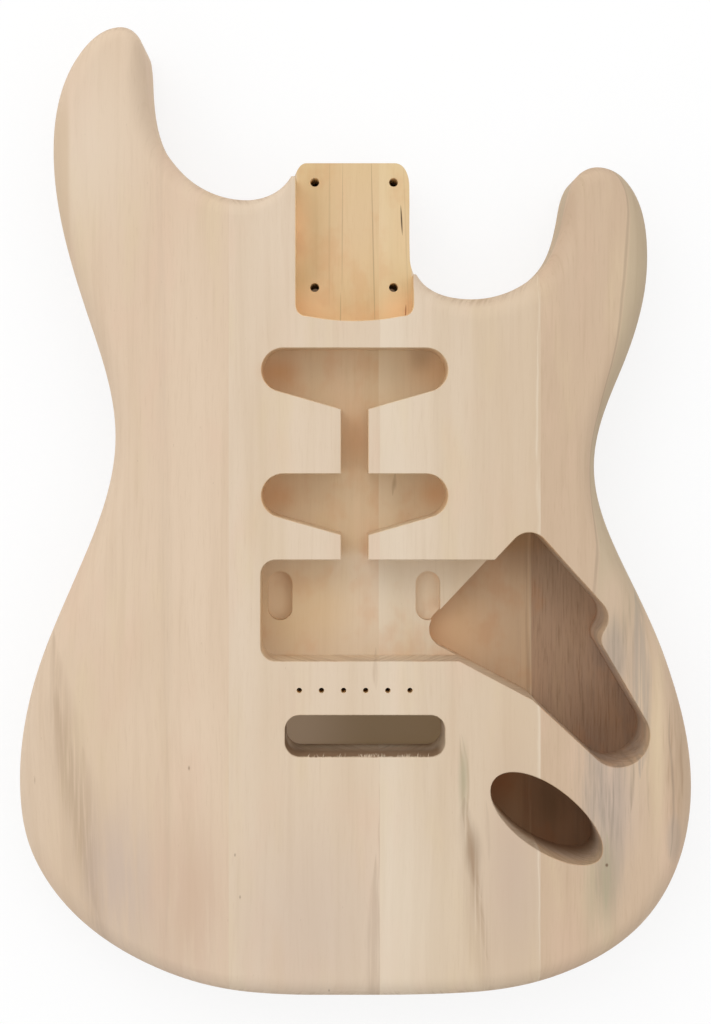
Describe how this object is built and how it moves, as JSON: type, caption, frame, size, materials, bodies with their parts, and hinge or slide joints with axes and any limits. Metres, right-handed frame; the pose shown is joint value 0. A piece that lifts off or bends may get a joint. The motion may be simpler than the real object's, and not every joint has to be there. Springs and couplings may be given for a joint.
{
  "type": "electric guitar body",
  "caption": "Bare double-cutaway guitar body of edge-glued planks, routed for a bolt-on neck, pickups, controls, an output jack and a tremolo bridge.",
  "frame": {"origin": "under the middle of the outline's bounding box, on the flat back face", "axes": "+Z out of the front face, +Y along the grain towards the neck, +X to the treble side"},
  "size_m": [0.3236, 0.462, 0.045],
  "materials": {
    "bass_outer_wood": "bare, sanded",
    "bass_center_wood": "bare, sanded",
    "treble_center_wood": "bare, sanded",
    "treble_outer_wood": "bare, sanded"
  },
  "bodies": {
    "root": {"bass_outer_plank": "bass_outer_wood", "bass_center_plank": "bass_center_wood", "treble_center_plank": "treble_center_wood", "treble_outer_plank": "treble_outer_wood"}
  },
  "joints": []
}
